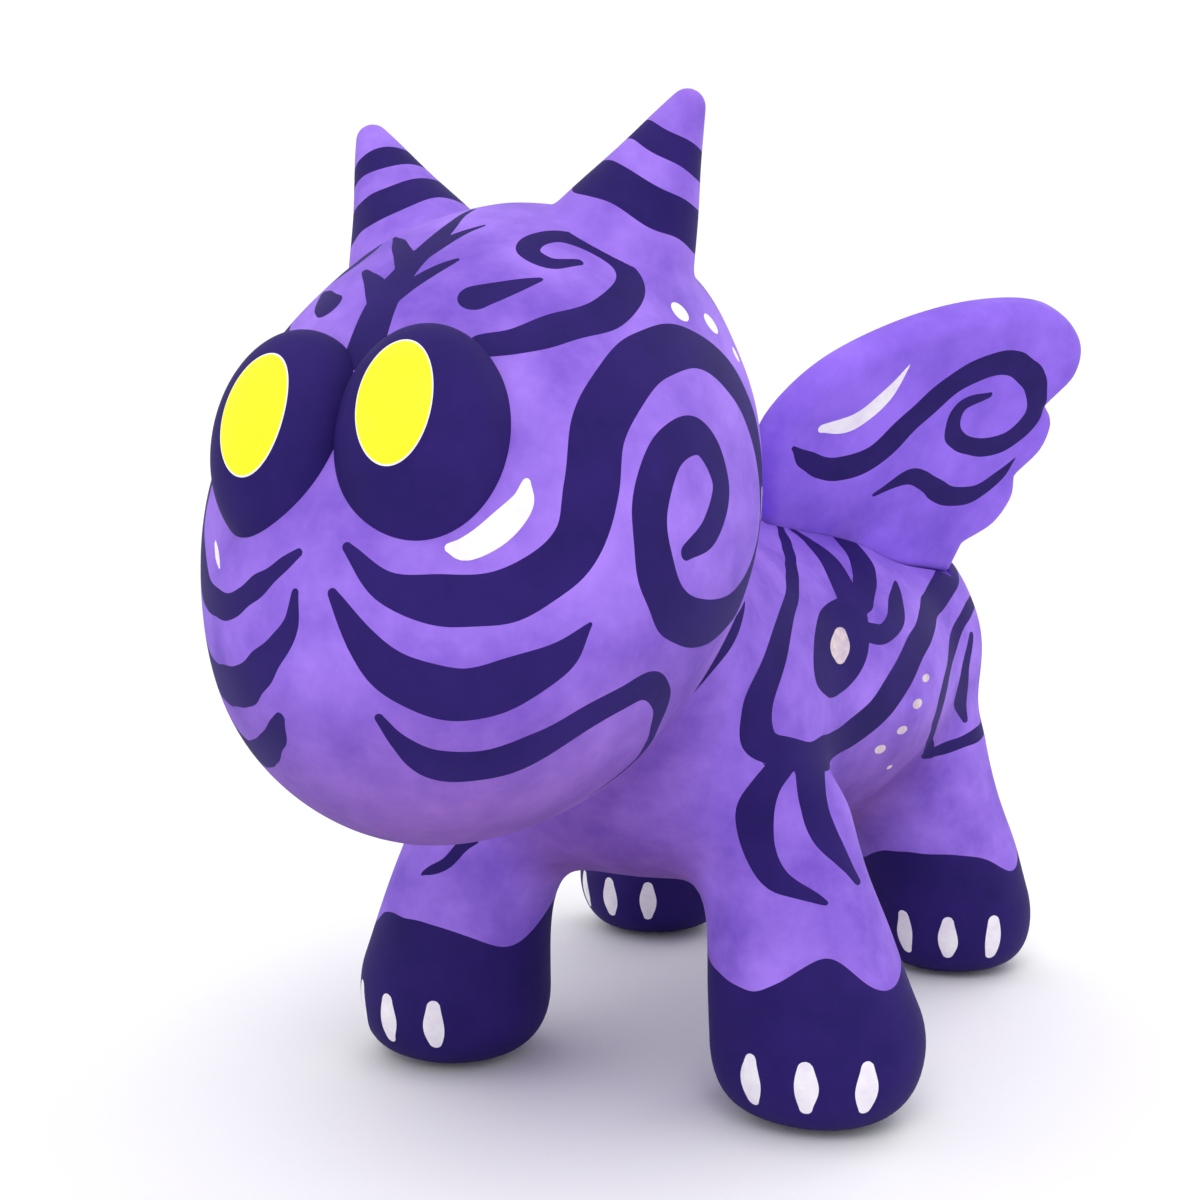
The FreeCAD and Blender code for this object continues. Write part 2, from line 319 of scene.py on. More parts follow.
def ball_mesh(level):
    """An evenly divided ball of radius one."""
    mesh = bmesh.new()
    bmesh.ops.create_icosphere(mesh, subdivisions=level, radius=1)
    points = np.array([vertex.co for vertex in mesh.verts], float)
    triangles = np.array([[vertex.index for vertex in face.verts] for face in mesh.faces])
    mesh.free()
    return points, triangles


def split(points, triangles, values):
    """Cuts a mesh where values cross zero: (points, triangles below, triangles above)."""
    values = np.where(np.abs(values) < 1e-4, 1e-4, values)
    below = values < 0
    edges = np.sort(np.concatenate([triangles[:, [0, 1]], triangles[:, [1, 2]],
                                    triangles[:, [2, 0]]]), axis=1)
    crossing = np.unique(edges[below[edges[:, 0]] != below[edges[:, 1]]], axis=0)
    if len(crossing) == 0:
        whole = triangles[below[triangles[:, 0]]]
        return points, whole, triangles[~below[triangles[:, 0]]]
    first, second = values[crossing[:, 0]], values[crossing[:, 1]]
    share = (first / (first - second))[:, None]
    added = points[crossing[:, 0]] * (1 - share) + points[crossing[:, 1]] * share
    keys = crossing[:, 0] * len(points) + crossing[:, 1]

    def cut_point(a, b):
        """The index of the new point on each edge."""
        key = np.minimum(a, b) * len(points) + np.maximum(a, b)
        return len(points) + np.searchsorted(keys, key)

    sides = below[triangles].sum(1)
    parts = {True: [triangles[sides == 3]], False: [triangles[sides == 0]]}
    for lone_below in (True, False):
        chosen = triangles[sides == (1 if lone_below else 2)]
        turn = np.argmax(below[chosen] == lone_below, axis=1)
        rows = np.arange(len(chosen))
        a, b, c = (chosen[rows, (turn + i) % 3] for i in range(3))
        ab, ac = cut_point(a, b), cut_point(a, c)
        parts[lone_below].append(np.stack([a, ab, ac], 1))
        parts[not lone_below] += [np.stack([ab, b, c], 1), np.stack([ab, c, ac], 1)]
    return (np.concatenate([points, added]), np.concatenate(parts[True]),
            np.concatenate(parts[False]))


def refine(points, triangles, values, reach, field):
    """Halves the edges near where values cross zero, with the new points on a field."""
    corners = np.roll(triangles, -1, axis=1)
    keys = np.minimum(triangles, corners) * len(points) + np.maximum(triangles, corners)
    near = np.abs(values) < reach
    marked = near[triangles] & near[corners]
    chosen = np.unique(keys[marked])
    middles = (points[chosen // len(points)] + points[chosen % len(points)]) / 2
    middle = len(points) + np.searchsorted(chosen, keys)
    count = marked.sum(1)
    parts = [triangles[count == 0]]
    for number in (1, 2, 3):
        rows = np.flatnonzero(count == number)
        lone = marked[rows] if number == 1 else ~marked[rows]
        turn = np.argmax(lone, axis=1) if number < 3 else np.zeros(len(rows), int)
        a, b, c = (triangles[rows, (turn + i) % 3] for i in range(3))
        ab, bc, ca = (middle[rows, (turn + i) % 3] for i in range(3))
        if number == 1:
            parts += [np.stack([a, ab, c], 1), np.stack([ab, b, c], 1)]
        elif number == 2:
            parts += [np.stack([c, ca, bc], 1), np.stack([ca, a, b], 1), np.stack([ca, b, bc], 1)]
        else:
            parts += [np.stack([a, ab, ca], 1), np.stack([ab, b, bc], 1),
                      np.stack([ca, bc, c], 1), np.stack([ab, bc, ca], 1)]
    return np.concatenate([points, settle(field, middles)]), np.concatenate(parts)


def to_side(points, triangles, side):
    """A mesh of the left side as it is, or its mirror image for side -1."""
    return points * [side, 1, 1], triangles if side > 0 else triangles[:, ::-1]


def side_name(side):
    """The name of a side."""
    return "left" if side > 0 else "right"


def tilted_ring(axis, face, count):
    """Offsets to a ring of radius one round an axis, slid along it onto a sloping face."""
    across = unit(np.cross(axis, [0, 1, 0]))
    other = np.cross(axis, across)
    turns = np.linspace(0, 2 * math.pi, count, endpoint=False)
    ring = np.outer(np.cos(turns), across) + np.outer(np.sin(turns), other)
    return ring - np.outer((ring @ face) / (axis @ face), axis)


def band_faces(count):
    """Triangles between a ring of points and the ring of as many points after it."""
    here = np.arange(count)
    ahead = np.roll(here, -1)
    return np.concatenate([np.stack([here, here + count, ahead + count], 1),
                           np.stack([here, ahead + count, ahead], 1)])


def add_piece(name, points, triangles, material, body, normals=None):
    """Makes a Blender object out of some triangles and puts it on a body."""
    used, compact = np.unique(triangles, return_inverse=True)
    mesh = bpy.data.meshes.new(name)
    mesh.from_pydata(points[used] * MM, [], compact.reshape(-1, 3).tolist())
    mesh.materials.append(material)
    mesh.shade_smooth()
    if normals is not None:
        mesh.normals_split_custom_set_from_vertices(normals[used].tolist())
    piece = bpy.data.objects.new(name, mesh)
    bpy.context.scene.collection.objects.link(piece)
    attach(piece, body)
    return piece


# Painting -----------------------------------------------------------------

def spline(knots, step=0.35):
    """Evenly spaced samples of a smooth curve through rows of numbers."""
    knots = np.asarray(knots, float)
    padded = np.concatenate([2 * knots[:1] - knots[1:2], knots, 2 * knots[-1:] - knots[-2:-1]])
    pieces = []
    for i in range(1, len(padded) - 2):
        p0, p1, p2, p3 = padded[i - 1:i + 3]
        count = max(int(np.linalg.norm((p2 - p1)[:3]) / step), 2)
        t = np.linspace(0, 1, count, endpoint=False)[:, None]
        pieces.append(0.5 * (2 * p1 + (p2 - p0) * t + (2 * p0 - 5 * p1 + 4 * p2 - p3) * t ** 2
                             + (3 * p1 - p0 - 3 * p2 + p3) * t ** 3))
    pieces.append(knots[-1:])
    return np.concatenate(pieces)


def brush_wobble(points):
    """The small unsteadiness of a hand-held brush."""
    x, y, z = points.T
    return (0.16 * np.sin(x * 0.55 + z * 0.4 + 1.3) * np.sin(y * 0.5 - z * 0.35)
            + 0.05 * np.sin(x * 1.1 - y * 0.9 + z * 0.7))


def paint_values(points, strokes, squeeze=1.0):
    """Distance to the nearest edge of a set of strokes, below zero under the paint.

    A squeeze below one draws every mark longer along Y, as on the creature's flanks.
    """
    scale = np.array([1.0, squeeze, 1.0])
    scaled = points * scale
    values = np.full(len(points), FAR)
    for stroke in strokes:
        line = stroke[:, :3] * scale
        middle = line.mean(0)
        reach = np.linalg.norm(line - middle, axis=1).max() + stroke[:, 3].max() + 3
        near = np.flatnonzero(np.linalg.norm(scaled - middle, axis=1) < reach)
        for part in np.array_split(near, max(len(near) * len(stroke) // 4000000, 1)):
            gap = np.linalg.norm(scaled[part, None] - line[None], axis=2)
            values[part] = np.minimum(values[part], (gap - stroke[:, 3]).min(1))
    return values + brush_wobble(points)


def other_side(strokes):
    """The mirror images of the strokes."""
    return [stroke * [-1, 1, 1, 1] for stroke in strokes]


def both_sides(strokes):
    """The strokes and their mirror images."""
    return strokes + other_side(strokes)


def head_point(azimuth, elevation):
    """The point of the head seen from its middle in a direction, 0 azimuth to the front."""
    a, e = np.radians(azimuth), np.radians(elevation)
    direction = np.stack([np.sin(a) * np.cos(e), -np.cos(a) * np.cos(e), np.sin(e)], -1)
    reach = 1 / np.linalg.norm((direction @ HEAD_AXES) / HEAD_HALF, axis=-1, keepdims=True)
    return HEAD_CENTRE + direction * reach


def head_stroke(*knots):
    """A stroke on the head through (azimuth, elevation, half width) knots."""
    knots = np.array(knots, float)
    curve = spline(np.column_stack([head_point(knots[:, 0], knots[:, 1]), knots[:, 2]]))
    curve[:, :3] = settle(head_field, curve[:, :3])
    return curve


def body_stroke(*knots):
    """A stroke on the body through (x, y, z, half width) knots near its surface."""
    knots = np.array(knots, float)
    knots[:, :3] = settle(body_field, knots[:, :3], 6)
    curve = spline(knots)
    curve[:, :3] = settle(body_field, curve[:, :3])
    return curve


def flat_stroke(*knots):
    """A stroke on a flat face through (across, up, half width) knots."""
    knots = np.array(knots, float)
    return spline(np.column_stack([knots[:, :2], np.zeros(len(knots)), knots[:, 2]]))


# Ears and wings -----------------------------------------------------------

def ear_seat():
    """The middle and the direction of the flat that the left ear stands on."""
    reach = np.linspace(0, 20, 400)
    line = EAR_BASE + np.outer(reach, EAR_AXIS)
    foot = line[np.argmin(np.abs(head_field(line)))]
    outward = normals_of(head_field, foot[None])[0]
    return foot - outward * EAR_SEAT_DEPTH, outward


EAR_SEAT, EAR_SEAT_OUT = ear_seat()


def above_ear_seat(points):
    """Height over the plane of the flat that the left ear stands on."""
    return (points - EAR_SEAT) @ EAR_SEAT_OUT


def head_skin_field(points):
    """Distance to the head with a carver's unevenness."""
    points = mirrored_points(points)
    return head_field(points) + carved(points, HEAD_CARVING)


def ear_field(points):
    """Distance to the left ear, a cone that runs smoothly into the head."""
    cone = rounded_cone(points, EAR_BASE, EAR_TIP, EAR_BASE_RADIUS, EAR_TIP_RADIUS)
    cone = cone + carved(points * 1.8, EAR_CARVING)
    return smooth_min(cone, head_skin_field(points), EAR_FILLET)


def crown_field(points):
    """Distance to the head with both of its ears."""
    return ear_field(mirrored_points(points))


def wing_outline():
    """The edge of the left wing as (along, up) points, ending at the root."""
    leading = spline([(-7.0, 0.0, 0), (-7.3, 4.0, 0), (-10.8, 11.0, 0), (-12.2, 20.5, 0),
                      (-6.0, 31.5, 0), (6.0, 40.4, 0), (20.0, 46.3, 0), (34.0, 48.2, 0),
                      (44.0, 44.0, 0), (46.8, 37.5, 0), (43.6, 31.0, 0)], 1.2)
    upper_lobe = spline([(43.6, 31.0, 0), (47.0, 28.0, 0), (47.6, 22.5, 0), (44.6, 17.0, 0)], 1.2)
    lower_lobe = spline([(44.6, 17.0, 0), (46.4, 12.5, 0), (45.0, 6.5, 0), (40.0, 2.0, 0)], 1.2)
    root = [(WING_ROOT[1], -WING_ROOT_DEPTH, 0), (WING_ROOT[0], -WING_ROOT_DEPTH, 0)]
    return np.concatenate([leading, upper_lobe[1:], lower_lobe[1:], root])[:, :2]


def outline_distance(across, up, outline):
    """Distance to a closed outline in its own plane, below zero inside."""
    nearest = np.full(len(across), 1e9)
    inside = np.zeros(len(across), bool)
    for (x0, y0), (x1, y1) in zip(outline, np.roll(outline, -1, axis=0)):
        dx, dy = x1 - x0, y1 - y0
        share = np.clip(((across - x0) * dx + (up - y0) * dy) / (dx * dx + dy * dy), 0, 1)
        nearest = np.minimum(nearest, np.hypot(across - x0 - share * dx, up - y0 - share * dy))
        if dy:
            inside ^= ((up >= y0) != (up >= y1)) & (across < x0 + (up - y0) * dx / dy)
    return np.where(inside, -nearest, nearest)


WING_OUTLINE = wing_outline()


def wing_field(local, rounding=3.0):
    """Distance to the left wing in its own (along, up, out) millimetres."""
    edge = outline_distance(local[:, 0], local[:, 1], WING_OUTLINE) + rounding
    face = np.abs(local[:, 2]) - WING_HALF_THICKNESS + rounding
    outer = np.hypot(np.maximum(edge, 0), np.maximum(face, 0))
    return outer + np.minimum(np.maximum(edge, face), 0) - rounding


def wing_to_world(local):
    """Points of the left wing's own frame, placed on the figure."""
    return WING_FRONT + local @ np.stack([WING_ALONG, WING_UP, WING_FACE])


def world_to_wing(points):
    """Points of the figure in the left wing's own frame."""
    return (points - WING_FRONT) @ np.stack([WING_ALONG, WING_UP, WING_FACE], 1)


# Painted marks ------------------------------------------------------------

def head_swirls():
    """The indigo strokes of the head: cheeks, temples, brow and the back of the head."""
    temple = [(38, -10, 2.9), (45, -4, 3.0), (48, 5, 3.2), (51, 16, 3.3), (58, 25, 3.3),
              (69, 32, 3.2), (84, 34, 3.1), (98, 27, 3.0), (108, 13, 2.9), (112, -3, 3.0),
              (104, -14, 3.0), (90, -20, 2.8), (76, -21, 2.9), (67, -18, 3.0), (61, -10, 2.8),
              (60, 1, 2.6), (66, 12, 2.4), (76, 15, 2.3), (82, 6, 2.1), (77, -3, 1.8),
              (69, -7, 1.0)]
    jaw = [(39, -37, 2.0), (48, -34, 1.7), (56, -32, 1.8), (63, -31, 1.8), (70, -35, 1.7),
           (73, -41, 1.2), (77, -50, 0.8), (71, -55, 0.5), (63, -58, 0.2)]
    left = [
        head_stroke((6, -5, 0.6), (13, -11, 1.8), (22, -13, 2.7), (31, -13, 2.9), *temple),
        head_stroke((4, -12, 0.5), (9, -19, 1.8), (15, -24, 2.7), (24, -27, 3.0), (33, -26, 2.8),
                    (41, -23, 2.0), (47, -18, 0.3)),
        head_stroke((11, -30, 0.6), (14, -34, 1.2), (19, -38, 2.0), (28, -39, 2.2), *jaw),
    ]
    right = other_side([
        head_stroke((3, -6, 0.6), (6, -8, 0.9), (11, -11, 1.2), (20, -15, 1.6), (30, -14, 2.0),
                    *temple),
        head_stroke((3, -12, 0.6), (4, -17, 1.1), (8, -21, 1.6), (18, -27, 2.5), (33, -28, 2.6),
                    (42, -24, 2.0), (47, -18, 0.3)),
        head_stroke((9, -31, 0.8), (13, -35, 1.6), (25, -40, 2.0), *jaw),
    ])
    paired = [
        head_stroke((28, 34, 1.6), (36, 35, 1.9), (46, 38, 2.2), (61, 42, 2.2), (74, 48, 2.1),
                    (80, 54, 1.9), (77, 61, 1.8), (65, 66, 1.6), (51, 65, 1.5), (46, 61, 1.4),
                    (52, 57, 1.3), (63, 57, 0.7)),
        head_stroke((26, 47, 2.0), (33, 49, 1.6), (46, 52, 0.4)),
        head_stroke((146, 4, 0.4), (138, 16, 2.0), (128, 34, 2.4), (126, 52, 1.8), (140, 62, 0.4)),
        head_stroke((158, 38, 1.8), (152, 46, 1.4), (150, 56, 0.3)),
    ]
    middle = [
        head_stroke((-1, 33, 2.6), (-3, 46, 2.2), (-3, 58, 1.9), (-2, 72, 1.4), (-60, 87, 0.4)),
        head_stroke((-26, 58, 0.3), (-12, 53, 1.2), (-2, 46, 1.8)),
        head_stroke((-58, 71, 0.3), (-22, 67, 1.1), (-2, 58, 1.6)),
        head_stroke((17, 60, 0.3), (8, 56, 1.1), (-1, 49, 1.7)),
        head_stroke((26, 75, 0.3), (10, 71, 1.0), (-2, 62, 1.5)),
        head_stroke((180, 64, 0.4), (181, 48, 1.6), (180, 32, 2.2), (180, 18, 2.4), (180, 8, 0.6)),
    ]
    for elevation in (52, 36):
        for turn in (15, -15):
            middle.append(head_stroke((180 - turn, elevation, 0.3),
                                      (180 - turn / 2, elevation - 8, 1.1),
                                      (180, elevation - 16, 1.6)))
    return left + right + both_sides(paired) + middle


def head_dabs():
    """The white dabs and dots of the head."""
    left = [head_stroke((36, 6, 0.4), (35, 2, 1.2), (31, -2, 1.7), (26, -5, 1.4), (23, -5, 0.5))]
    right = [head_stroke((-29, -5, 0.3), (-27, -7, 0.6), (-25, -9, 0.3))]
    paired = [head_stroke(dot) for dot in (
        (89, 42, 1.4), (102, 39, 1.5), (111, 32, 1.2), (150, 24, 1.2), (154, 14, 1.0))]
    paired.append(head_stroke((112, 4, 0.7), (111, -1, 0.7)))
    return left + right + both_sides(paired)


def body_swirls():
    """The indigo strokes of the body."""
    left = [
        body_stroke((27, -14, 53, 1.7), (26, -18, 50, 2.0), (25, -20, 46, 2.6), (26, -20, 41, 2.3),
                    (29, -20, 37, 1.7), (35, -18, 34, 0.3)),
        body_stroke((30, -9, 53, 1.9), (32, -14, 48, 1.6), (34, -15, 43, 1.4), (38, -12, 36, 0.4)),
        body_stroke((33, 1, 52, 1.0), (38, -1, 45, 0.8), (41, -3, 38, 0.2)),
    ]
    right = [
        body_stroke((-21, -20, 38, 0.4), (-23, -21, 37, 0.9), (-26, -21, 34, 1.0),
                    (-30, -21, 32, 0.3)),
        body_stroke((-33, -9, 52, 1.6), (-36, -13, 46, 1.6), (-39, -12, 39, 1.2),
                    (-40, -8, 33, 0.3)),
        body_stroke((-33, 2, 52, 1.2), (-38, 4, 45, 1.0), (-40, 7, 37, 0.3)),
    ]
    paired = [
        body_stroke((12, 25, 87, 0.4), (21, 7, 80, 1.0), (25, -7, 74, 1.2), (25, -14, 67, 1.5),
                    (24, -17, 61, 1.8), (25, -17, 56, 2.0), (28, -12, 54, 2.1), (30, -6, 53, 2.4),
                    (31, 8, 53, 2.4), (33, 16, 57, 2.2), (35, 27, 65, 2.0), (34, 43, 71, 2.1),
                    (34, 57, 76, 2.3), (31, 68, 81, 1.6), (25, 74, 85, 0.4)),
        body_stroke((28, 16, 74, 1.9), (28, 11, 71, 3.7), (29, 7, 67, 4.0), (29, 4, 64, 2.9),
                    (29, 3, 62, 1.5)),
        body_stroke((17, 35, 86, 0.3), (20, 35, 84, 1.2), (24, 32, 81, 1.7), (27, 27, 78, 1.8),
                    (29, 19, 74, 1.8)),
        body_stroke((15, 24, 86, 0.3), (19, 23, 84, 0.8), (23, 21, 81, 1.3), (28, 17, 75, 1.6)),
        body_stroke((30, 14, 70, 1.6), (32, 20, 69, 1.6), (33, 25, 71, 1.5), (32, 30, 74, 1.2),
                    (30, 37, 77, 0.3)),
        body_stroke((33, 52, 44, 0.8), (36, 41, 53, 1.2), (37, 42, 59, 1.1), (37, 50, 64, 1.1),
                    (37, 58, 69, 1.1), (38, 69, 72, 1.2), (39, 79, 64, 1.4), (39, 79, 54, 1.4),
                    (38, 70, 48, 1.3), (36, 60, 46, 1.2), (33, 51, 44, 1.0)),
        body_stroke((38, 60, 66, 0.4), (37, 57, 60, 0.9), (37, 57, 54, 1.3), (37, 60, 50, 0.5)),
        body_stroke((14, 88, 80, 0.4), (23, 85, 74, 2.0), (27, 86, 65, 2.4), (22, 90, 57, 1.9),
                    (14, 91, 58, 1.5), (12, 91, 64, 1.2), (17, 90, 67, 0.5)),
        body_stroke((9, 88, 50, 0.4), (18, 87, 46, 1.8), (28, 87, 44, 1.6), (34, 84, 40, 0.3)),
        body_stroke((8, 64, 92, 0.3), (16, 74, 88, 1.5), (22, 83, 79, 0.3)),
        body_stroke((23, -18, 77, 0.2), (21, -25, 70, 0.8), (18, -29, 64, 0.2)),
    ]
    middle = [body_stroke((0, y, 90, 0.5), (0, y + 5, 90, 2.2), (0, y + 11, 90, 0.3))
              for y in (4, 20, 36, 52)]
    middle.append(body_stroke((0, 74, 92, 0.3), (0, 82, 86, 1.8), (0, 88, 78, 2.8),
                              (0, 91, 71, 0.8)))
    return left + right + both_sides(paired) + middle


def body_dabs():
    """The cream dots and drops of the body."""
    paired = [body_stroke(dot) for dot in (
        (37, 31, 61, 0.7), (36, 28, 57, 0.8), (34, 25, 53, 0.8), (32, 21, 50, 0.8),
        (31, 29, 46, 0.6), (18, 84, 84, 1.0), (12, 86, 85, 0.9), (22, 88, 50, 1.0),
        (8, 91, 68, 0.8))]
    paired.append(body_stroke((28, 10, 70, 0.7), (29, 8, 68, 1.4), (29, 7, 66, 0.7)))
    return both_sides(paired)


def toe_marks():
    """Three upright white dabs on each foot, turned a little outwards."""
    marks = []
    for foot in (FRONT_FOOT, REAR_FOOT):
        for angle in TOE_ANGLES:
            turn = math.radians(angle)
            front = foot[:2] + TOE_RING_RADIUS * np.array([math.sin(turn), -math.cos(turn)])
            marks.append(body_stroke(*[(*front, height, half) for height, half in TOE_SHAPE]))
    return both_sides(marks)


def sock_values(points):
    """Height over the wavy edge of the dark sock on each leg."""
    folded = mirrored_points(points)
    rear = points[:, 1] > (FRONT_FOOT[1] + REAR_FOOT[1]) / 2
    right = points[:, 0] < 0
    foot = np.where(rear[:, None], REAR_FOOT, FRONT_FOOT)
    angle = np.arctan2(folded[:, 0] - foot[:, 0], foot[:, 1] - points[:, 1])
    phase = 0.4 + 1.1 * rear + 0.9 * right
    waves = 2.3 * np.sin(3 * angle + phase) + 0.9 * np.sin(5 * angle - 1.3 * phase)
    return points[:, 2] - SOCK_HEIGHT - waves


def wing_swirls():
    """The indigo strokes of a wing, on its own plane."""
    return [
        flat_stroke((-8, 18, 0.4), (-4, 16, 1.6), (2, 15, 2.3), (9, 18, 2.5), (14, 26, 2.4),
                    (20, 34, 2.3), (28, 38, 2.3), (36, 36, 2.3), (40, 30, 2.1), (37, 24, 2.0),
                    (30, 22, 1.8), (24, 24, 1.6), (23, 29, 1.4), (28, 32, 0.6)),
        flat_stroke((13, 11, 0.3), (19, 15, 1.5), (24, 14, 1.8), (29, 12, 2.0), (35, 13, 1.8),
                    (39, 17, 1.2), (41, 21, 0.3)),
    ]


def wing_dabs():
    """The white highlight of a wing, on its own plane."""
    return [flat_stroke((-4, 22, 0.9), (2, 24, 1.5), (6, 29, 1.2), (8, 35, 0.3))]


# Materials ----------------------------------------------------------------

def paint(name, slot, light, dark, roughness, mottle_size, contrast, painted_shade_tint=(1, 1, 1)):
    """A matte brushed paint that drifts between two colours, for one of the part's slots.

    The last colour is painted shade: it multiplies the paint where the surface faces down, darker
    and warmer under the chin, chest and belly.
    """
    material = bpy.data.materials.new(name)
    material["slot"] = slot
    material.use_nodes = True
    nodes, links = material.node_tree.nodes, material.node_tree.links
    shader = nodes["Principled BSDF"]
    shader.inputs["Roughness"].default_value = roughness
    shader.inputs["Specular IOR Level"].default_value = 0.12

    place = nodes.new("ShaderNodeTexCoord")
    cloud = nodes.new("ShaderNodeTexNoise")
    cloud.inputs["Scale"].default_value = 1 / (mottle_size * MM)
    cloud.inputs["Detail"].default_value = 5
    cloud.inputs["Roughness"].default_value = 0.62
    links.new(place.outputs["Object"], cloud.inputs["Vector"])
    ramp = nodes.new("ShaderNodeValToRGB")
    ramp.color_ramp.elements[0].position = 0.5 - contrast
    ramp.color_ramp.elements[1].position = 0.5 + contrast
    ramp.color_ramp.elements[0].color = (*dark, 1)
    ramp.color_ramp.elements[1].color = (*light, 1)
    links.new(cloud.outputs["Fac"], ramp.inputs["Fac"])

    # Painted shade: the colour is multiplied by the shade tint more and more as the surface turns
    # downwards.
    geometry = nodes.new("ShaderNodeNewGeometry")
    direction = nodes.new("ShaderNodeSeparateXYZ")
    links.new(geometry.outputs["Normal"], direction.inputs["Vector"])
    downward = nodes.new("ShaderNodeMapRange")
    downward.inputs["From Min"].default_value = -0.1
    downward.inputs["From Max"].default_value = -0.85
    links.new(direction.outputs["Z"], downward.inputs["Value"])
    shade = nodes.new("ShaderNodeMixRGB")
    shade.blend_type = "MULTIPLY"
    shade.inputs["Color2"].default_value = (*painted_shade_tint, 1)
    links.new(downward.outputs["Result"], shade.inputs["Fac"])
    links.new(ramp.outputs["Color"], shade.inputs["Color1"])
    links.new(shade.outputs["Color"], shader.inputs["Base Color"])

    grain = nodes.new("ShaderNodeTexNoise")
    grain.inputs["Scale"].default_value = 1 / (1.1 * MM)
    grain.inputs["Detail"].default_value = 3
    links.new(place.outputs["Object"], grain.inputs["Vector"])
    bump = nodes.new("ShaderNodeBump")
    bump.inputs["Strength"].default_value = 0.12
    bump.inputs["Distance"].default_value = 0.25 * MM
    links.new(grain.outputs["Fac"], bump.inputs["Height"])
    links.new(bump.outputs["Normal"], shader.inputs["Normal"])
    return material


# The lavender's last colour is painted shade for its downward-facing surfaces.
LAVENDER = paint("lavender_paint", "lavender_paint", (0.35, 0.19, 0.79), (0.18, 0.085, 0.54),
                 0.65, 16, 0.18, (0.62, 0.50, 0.50))
VIOLET = paint("violet_paint", "lavender_paint", (0.31, 0.16, 0.83), (0.19, 0.09, 0.62),
               0.65, 16, 0.18)
INDIGO = paint("indigo_paint", "indigo_paint", (0.024, 0.010, 0.135), (0.014, 0.006, 0.095),
               0.7, 12, 0.2)
WHITE = paint("white_paint", "lavender_paint", (0.90, 0.87, 0.90), (0.76, 0.70, 0.80),
              0.6, 3, 0.2)
CREAM = paint("cream_paint", "lavender_paint", (0.72, 0.62, 0.60), (0.50, 0.38, 0.52),
              0.6, 2, 0.2)
YELLOW = paint("yellow_paint", "indigo_paint", (0.95, 0.88, 0.03), (0.92, 0.80, 0.02),
               0.5, 6, 0.2)
BARE_WOOD = paint("bare_wood", "bare_wood", (0.72, 0.50, 0.28), (0.55, 0.36, 0.18), 0.7, 3, 0.2)


# Pieces -------------------------------------------------------------------

def painted_skin(name, points, triangles, body, layers, field, base=LAVENDER):
    """Cuts each paint layer out of a skin that lies on a field and returns the base piece.

    layers are (suffix, values, material) with values a function of points.
    """
    for _, values, _ in layers:
        points, triangles = refine(points, triangles, values(points), EDGE_BAND, field)
    for suffix, values, material in layers:
        points, under, triangles = split(points, triangles, values(points))
        if len(under):
            add_piece(name + suffix, points, under, material, body, normals_of(field, points))
    return add_piece(name, points, triangles, base, body, normals_of(field, points))


def make_head():
    """The head with its ear flats and every stroke on it."""
    points, triangles = ball_mesh(HEAD_DIVISIONS)
    points = settle(head_skin_field, HEAD_CENTRE + (points * HEAD_HALF) @ HEAD_AXES.T)
    height = above_ear_seat(mirrored_points(points))
    points, triangles = refine(points, triangles, height, EDGE_BAND, head_skin_field)
    points, triangles, _ = split(points, triangles, above_ear_seat(mirrored_points(points)))
    points = settle(crown_field, points)
    for side in (1, -1):
        add_ear_seat("head_seat", side, "figure", faces_up=True)
        add_bore("head_bore", EAR_SEAT, EAR_AXIS, EAR_SEAT_OUT, EAR_BORE_RADIUS, side)
    swirls, dabs = head_swirls(), head_dabs()
    piece = painted_skin("head_skin", points, triangles, "figure", [
        ("_dabs", lambda places: paint_values(places, dabs), WHITE),
        ("_swirls", lambda places: paint_values(places, swirls), INDIGO)], crown_field)
    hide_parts("head")


def add_ear_seat(name, side, body, faces_up):
    """The flat where an ear and the head meet, from the peg out to the skin."""
    ring = tilted_ring(EAR_AXIS, EAR_SEAT_OUT, SEAT_SIDES)
    inner = np.full(SEAT_SIDES, EAR_BORE_RADIUS)
    outer = np.full(SEAT_SIDES, 2 * EAR_BASE_RADIUS)
    for _ in range(20):
        middle = (inner + outer) / 2
        inside = ear_field(EAR_SEAT + ring * middle[:, None]) < 0
        inner = np.where(inside, middle, inner)
        outer = np.where(inside, outer, middle)
    points = EAR_SEAT + np.concatenate([ring * EAR_BORE_RADIUS, ring * inner[:, None]])
    triangles = band_faces(SEAT_SIDES)
    if not faces_up:
        triangles = triangles[:, ::-1]
    points, triangles = to_side(points, triangles, side)
    add_piece(name + "_" + side_name(side), points, triangles, LAVENDER, body)


def bore_values(points, mouth, axis, radius):
    """Distance to the wall of a bore, from its mouth down."""
    away = points - mouth
    along = away @ axis
    side = np.linalg.norm(away - np.outer(along, axis), axis=1)
    return np.where(np.abs(along) < BORE_MOUTH_REACH, side - radius, FAR)


def add_bore(name, mouth, axis, face, radius, side):
    """The bare inside of a bore whose mouth is in a sloping face."""
    count = BORE_SIDES
    rim = mouth + radius * tilted_ring(axis, face, count)
    bottom = mouth - axis * PEG_BORE_DEPTH
    floor = bottom + radius * tilted_ring(axis, axis, count)
    points = np.concatenate([rim, floor, [bottom]])
    here = np.arange(count)
    fan = np.stack([here + count, np.full(count, 2 * count), np.roll(here, -1) + count], 1)
    points, triangles = to_side(points, np.concatenate([band_faces(count), fan]), side)
    add_piece(name + "_" + side_name(side), points, triangles, BARE_WOOD, "figure")


def slot_values(points):
    """Distance to the walls of both wing slots, in millimetres."""
    local = world_to_wing(mirrored_points(points))
    along = np.maximum(WING_ROOT[0] - SLOT_MARGIN - local[:, 0],
                       local[:, 0] - WING_ROOT[1] - SLOT_MARGIN)
    out = np.abs(local[:, 2]) - WING_HALF_THICKNESS - SLOT_MARGIN
    return np.maximum(np.maximum(along, out), -WING_ROOT_DEPTH - local[:, 1])


